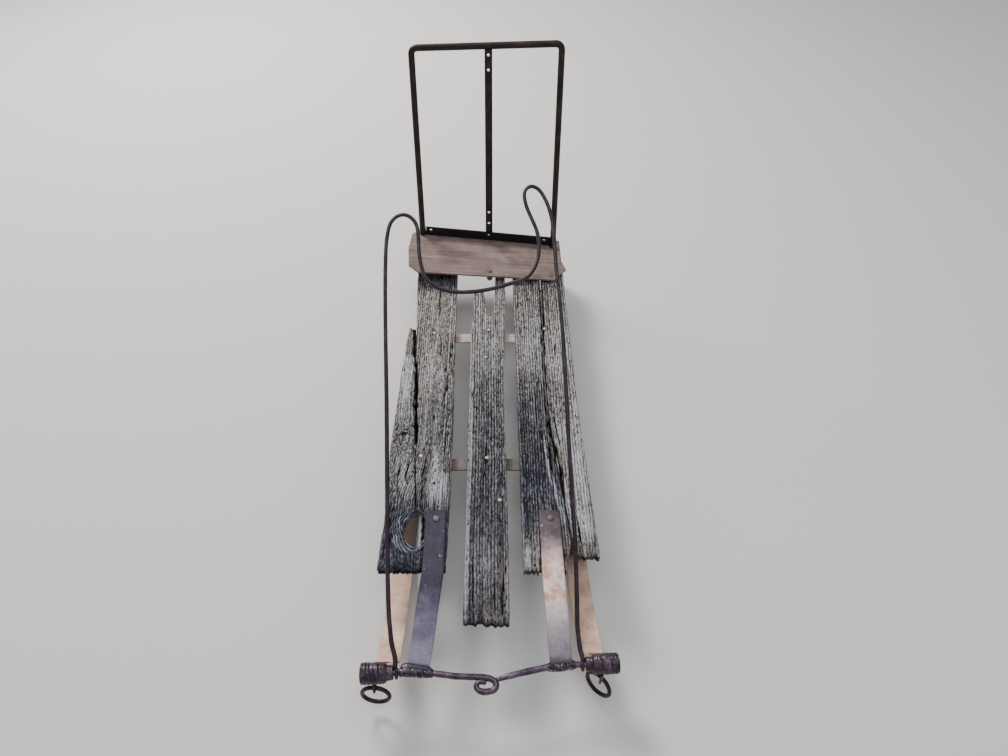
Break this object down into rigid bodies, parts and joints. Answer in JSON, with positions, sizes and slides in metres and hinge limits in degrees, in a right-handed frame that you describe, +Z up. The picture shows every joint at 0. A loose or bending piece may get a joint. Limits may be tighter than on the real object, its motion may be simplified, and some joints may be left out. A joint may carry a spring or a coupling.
{
  "type": "sled",
  "caption": "Old home-made sled: weathered plank deck on iron crossbars and runners, coil-ended front bar with rings, bent hand rod and leaning back frame.",
  "frame": {"origin": "on the floor under the middle of the whole part's box", "axes": "+X to the right as one stands in front of the sled, +Y backwards to the back frame, +Z up; the front bar faces -Y"},
  "size_m": [0.4892, 1.4201, 0.6838],
  "materials": {
    "weathered_wood": "grey, dry, raised grain",
    "rusted_iron": "orange-brown rust",
    "dark_iron": "dark purple-brown rust, smooth"
  },
  "bodies": {
    "sled": {"left_board": "weathered_wood", "centre_board": "weathered_wood", "right_board_inner": "weathered_wood", "right_board_outer": "weathered_wood", "left_runner": "rusted_iron", "right_runner": "rusted_iron", "front_crossbar": "rusted_iron", "middle_crossbar": "rusted_iron", "rear_crossbar": "rusted_iron", "left_top_strap": "rusted_iron", "right_top_strap": "rusted_iron", "strap_bolts": "rusted_iron", "rear_plate": "rusted_iron", "plate_bolts": "rusted_iron", "front_bar": "dark_iron", "left_end_coil": "dark_iron", "right_end_coil": "dark_iron", "rear_angle": "dark_iron", "back_frame": "dark_iron", "back_strip": "dark_iron"},
    "hand_rod": {"hand_rod": "dark_iron"},
    "left_ring": {"left_ring": "dark_iron"},
    "right_ring": {"right_ring": "dark_iron"}
  },
  "joints": [
    {"name": "hand_rod_hinge", "type": "hinge", "parent": "sled", "child": "hand_rod", "pos_m": [-0.17412, -0.66926, 0.096], "axis": [0.9992, 0.0403, 0], "range_deg": [-6, 160]},
    {"name": "left_ring_hinge", "type": "hinge", "parent": "sled", "child": "left_ring", "pos_m": [-0.21462, -0.68986, 0.0743], "axis": [0.9969, -0.0785, 0], "range_deg": [-95, 58]},
    {"name": "right_ring_hinge", "type": "hinge", "parent": "sled", "child": "right_ring", "pos_m": [0.20958, -0.67086, 0.071], "axis": [0.6947, -0.7193, 0], "range_deg": [-60, 60]}
  ]
}
